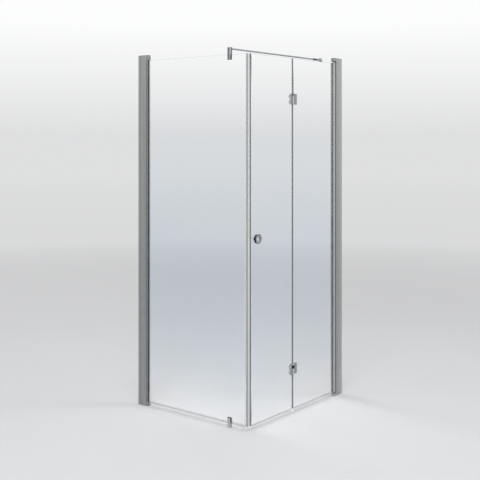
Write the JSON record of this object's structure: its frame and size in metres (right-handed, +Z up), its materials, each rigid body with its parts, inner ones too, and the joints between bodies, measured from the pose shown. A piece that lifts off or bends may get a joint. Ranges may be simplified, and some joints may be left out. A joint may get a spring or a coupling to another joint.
{
  "type": "corner shower enclosure",
  "caption": "Frameless corner shower enclosure: a fixed glass side panel with a stabiliser bar, and an inward bi-fold glass door with hinged panels, magnetic seals and a round knob.",
  "frame": {"origin": "centre of the footprint's bounding box, on the floor", "axes": "+X along the door from the free glass corner to the wall that carries the door; +Y along the side panel from that corner to the wall that carries the panel; +Z up"},
  "size_m": [0.91, 0.803, 2.014],
  "materials": {
    "polished_profile": "bright polished and anodised",
    "satin_profile": "satin anodised",
    "profile_cap": "metallic grey, moulded",
    "chrome_fitting": "polished chrome plate",
    "chrome_bar": "polished chrome plate",
    "steel_fastener": "stainless, turned",
    "clear_glass": "clear toughened glass with ground edges",
    "clear_seal": "clear soft vinyl",
    "grey_seal": "smoke grey soft vinyl",
    "black_gasket": "matt black rubber",
    "magnet_strip": "matt dark magnetic strip",
    "pivot_nylon": "black nylon"
  },
  "bodies": {
    "enclosure_frame": {"side_wall_channel": "polished_profile", "side_glass_profile": "satin_profile", "side_profile_screws": "steel_fastener", "side_top_cap": "profile_cap", "side_bottom_cap": "profile_cap", "side_outer_gasket": "black_gasket", "side_inner_gasket": "clear_seal", "side_glass": "clear_glass", "side_magnet_seal": "clear_seal", "side_magnet_strip": "magnet_strip", "side_bottom_seal": "clear_seal", "bar_clamp": "chrome_fitting", "bar_clamp_pad": "black_gasket", "bar_clamp_screws": "steel_fastener", "stabiliser_bar": "chrome_bar", "bar_sleeve": "chrome_fitting", "bar_sleeve_screw": "steel_fastener", "bar_wall_flange": "chrome_fitting", "bar_flange_pin": "steel_fastener", "floor_bracket": "chrome_fitting", "floor_bracket_pad": "black_gasket", "floor_bracket_screws": "steel_fastener", "door_wall_channel": "polished_profile", "door_carrier_profile": "satin_profile", "door_profile_screws": "steel_fastener", "pivot_gap_seal": "black_gasket", "top_pivot_block": "profile_cap", "bottom_pivot_block": "profile_cap", "pivot_bushes": "pivot_nylon"},
    "wall_leaf": {"pivot_profile": "polished_profile", "pivot_pins": "steel_fastener", "pivot_outer_gasket": "black_gasket", "pivot_inner_gasket": "clear_seal", "wall_panel_glass": "clear_glass", "wall_panel_bottom_seal": "clear_seal", "fold_seal": "grey_seal", "upper_hinge_wall_leaf": "chrome_fitting", "lower_hinge_wall_leaf": "chrome_fitting", "wall_leaf_inner_discs": "chrome_fitting", "wall_leaf_pads": "grey_seal", "wall_leaf_screws": "steel_fastener", "hinge_pins": "steel_fastener"},
    "lead_leaf": {"lead_panel_glass": "clear_glass", "lead_panel_bottom_seal": "clear_seal", "door_magnet_seal": "clear_seal", "door_magnet_strip": "magnet_strip", "upper_hinge_lead_leaf": "chrome_fitting", "lower_hinge_lead_leaf": "chrome_fitting", "lead_leaf_inner_discs": "chrome_fitting", "lead_leaf_pads": "grey_seal", "lead_leaf_screws": "steel_fastener", "outer_knob": "chrome_fitting", "inner_knob": "chrome_fitting", "knob_washers": "clear_seal", "knob_stud": "steel_fastener"}
  },
  "joints": [
    {"name": "door_pivot", "type": "hinge", "parent": "enclosure_frame", "child": "wall_leaf", "pos_m": [0.3805, -0.3855, 1], "axis": [0, 0, -1], "range_deg": [0, 90]},
    {"name": "door_fold", "type": "hinge", "parent": "wall_leaf", "child": "lead_leaf", "pos_m": [-0.0475, -0.3955, 1], "axis": [0, 0, 1], "range_deg": [0, 175]}
  ]
}
